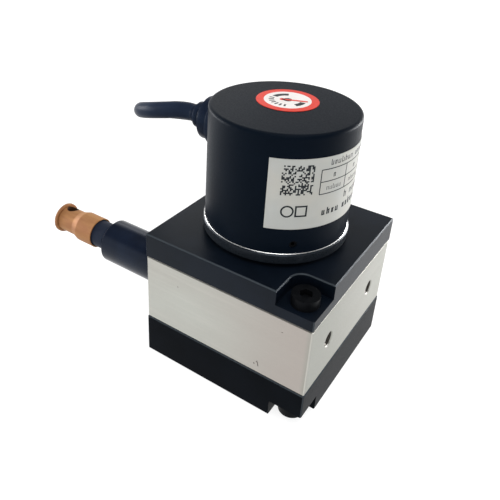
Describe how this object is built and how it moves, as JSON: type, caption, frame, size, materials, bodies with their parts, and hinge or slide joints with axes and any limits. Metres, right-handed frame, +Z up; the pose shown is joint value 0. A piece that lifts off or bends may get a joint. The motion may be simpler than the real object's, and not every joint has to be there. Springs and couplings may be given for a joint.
{
  "type": "draw wire encoder",
  "caption": "Draw wire encoder: a square housing with a sprung wire drum, a side wire outlet with a clip on the wire's end, and a round rotary encoder with its cable on top.",
  "frame": {"origin": "centre of the housing's square base face", "axes": "+Z up along the drum's axis and the encoder, the wire leaves along -X, and the two tapped mounting holes face +X"},
  "size_m": [0.0951, 0.1259, 0.075],
  "materials": {
    "black_anodised_aluminium": "satin black anodised",
    "bare_aluminium": "fine ground, clear anodised",
    "bronze_anodised_aluminium": "satin bronze anodised",
    "turned_aluminium": "turned",
    "painted_cap": "satin black powder coat",
    "blackened_steel": "black oxide",
    "plain_steel": "ground",
    "spring_steel": "blued strip",
    "stranded_steel": "stranded",
    "bearing_steel": "polished",
    "black_rubber": "matt",
    "white_polymer": "low friction polymer",
    "grey_felt": "felt",
    "black_plastic": "moulded",
    "cable_jacket": "satin PVC",
    "lead_insulation": "coloured",
    "brass": "turned",
    "board_laminate": "solder mask",
    "component_plastic": "moulded",
    "disc_film": "slotted disc",
    "label_film": "printed film",
    "sticker_film": "printed film"
  },
  "bodies": {
    "housing": {"base_plate": "black_anodised_aluminium", "drum_housing": "bare_aluminium", "top_plate": "black_anodised_aluminium", "top_screws": "blackened_steel", "base_screws": "blackened_steel", "spring_cover": "plain_steel", "power_spring": "spring_steel", "bearing_outer_rings": "bearing_steel", "wire_outlet": "black_anodised_aluminium", "outlet_eyelet": "white_polymer", "outlet_wiper": "grey_felt", "encoder_flange": "black_anodised_aluminium", "encoder_screws": "plain_steel", "bearing_spacer": "turned_aluminium", "lamp_holder": "black_plastic", "circuit_board": "board_laminate", "board_parts": "component_plastic", "board_pillars": "brass", "board_screws": "plain_steel", "cap_seal": "black_rubber", "encoder_cap": "painted_cap", "cap_screws": "plain_steel", "cable_gland": "black_plastic", "gland_nut": "plain_steel", "inner_cable": "cable_jacket", "side_label": "label_film", "top_sticker": "sticker_film", "cable_tube": "cable_jacket", "cable_coil": "cable_jacket", "coil_tie": "black_plastic", "cable_leads": "lead_insulation"},
    "drum": {"drum": "turned_aluminium", "wound_wire": "stranded_steel", "drum_shaft": "plain_steel", "drum_set_screws": "blackened_steel", "spring_arbor": "plain_steel", "bearing_inner_rings": "bearing_steel", "encoder_shaft": "plain_steel", "retaining_ring": "spring_steel", "disc_hub": "brass", "code_disc": "disc_film"},
    "wire_end": {"draw_wire": "stranded_steel", "wire_bumper": "black_rubber", "wire_ferrule": "plain_steel", "wire_clip": "bronze_anodised_aluminium"},
    "bearing_balls": {"bearing_balls": "bearing_steel"}
  },
  "joints": [
    {"name": "wire_pull", "type": "slide", "parent": "housing", "child": "wire_end", "axis": [-1, 0, 0], "range_m": [0, 1], "stiffness_N_per_m": 2, "springref_m": -2.5, "deforming": ["draw_wire"]},
    {"name": "drum_spin", "type": "hinge", "parent": "housing", "child": "drum", "pos_m": [0, 0, 0.02255], "axis": [0, 0, -1], "range_deg": [0, 4410], "deforming": ["power_spring"]},
    {"name": "ball_roll", "type": "hinge", "parent": "housing", "child": "bearing_balls", "pos_m": [0, 0, 0.02255], "axis": [0, 0, -1], "range_deg": [0, 1765]}
  ],
  "couplings": [
    {"joint": "drum_spin", "follows": "wire_pull", "rad_per_m": 76.923},
    {"joint": "ball_roll", "follows": "wire_pull", "rad_per_m": 30.769}
  ]
}
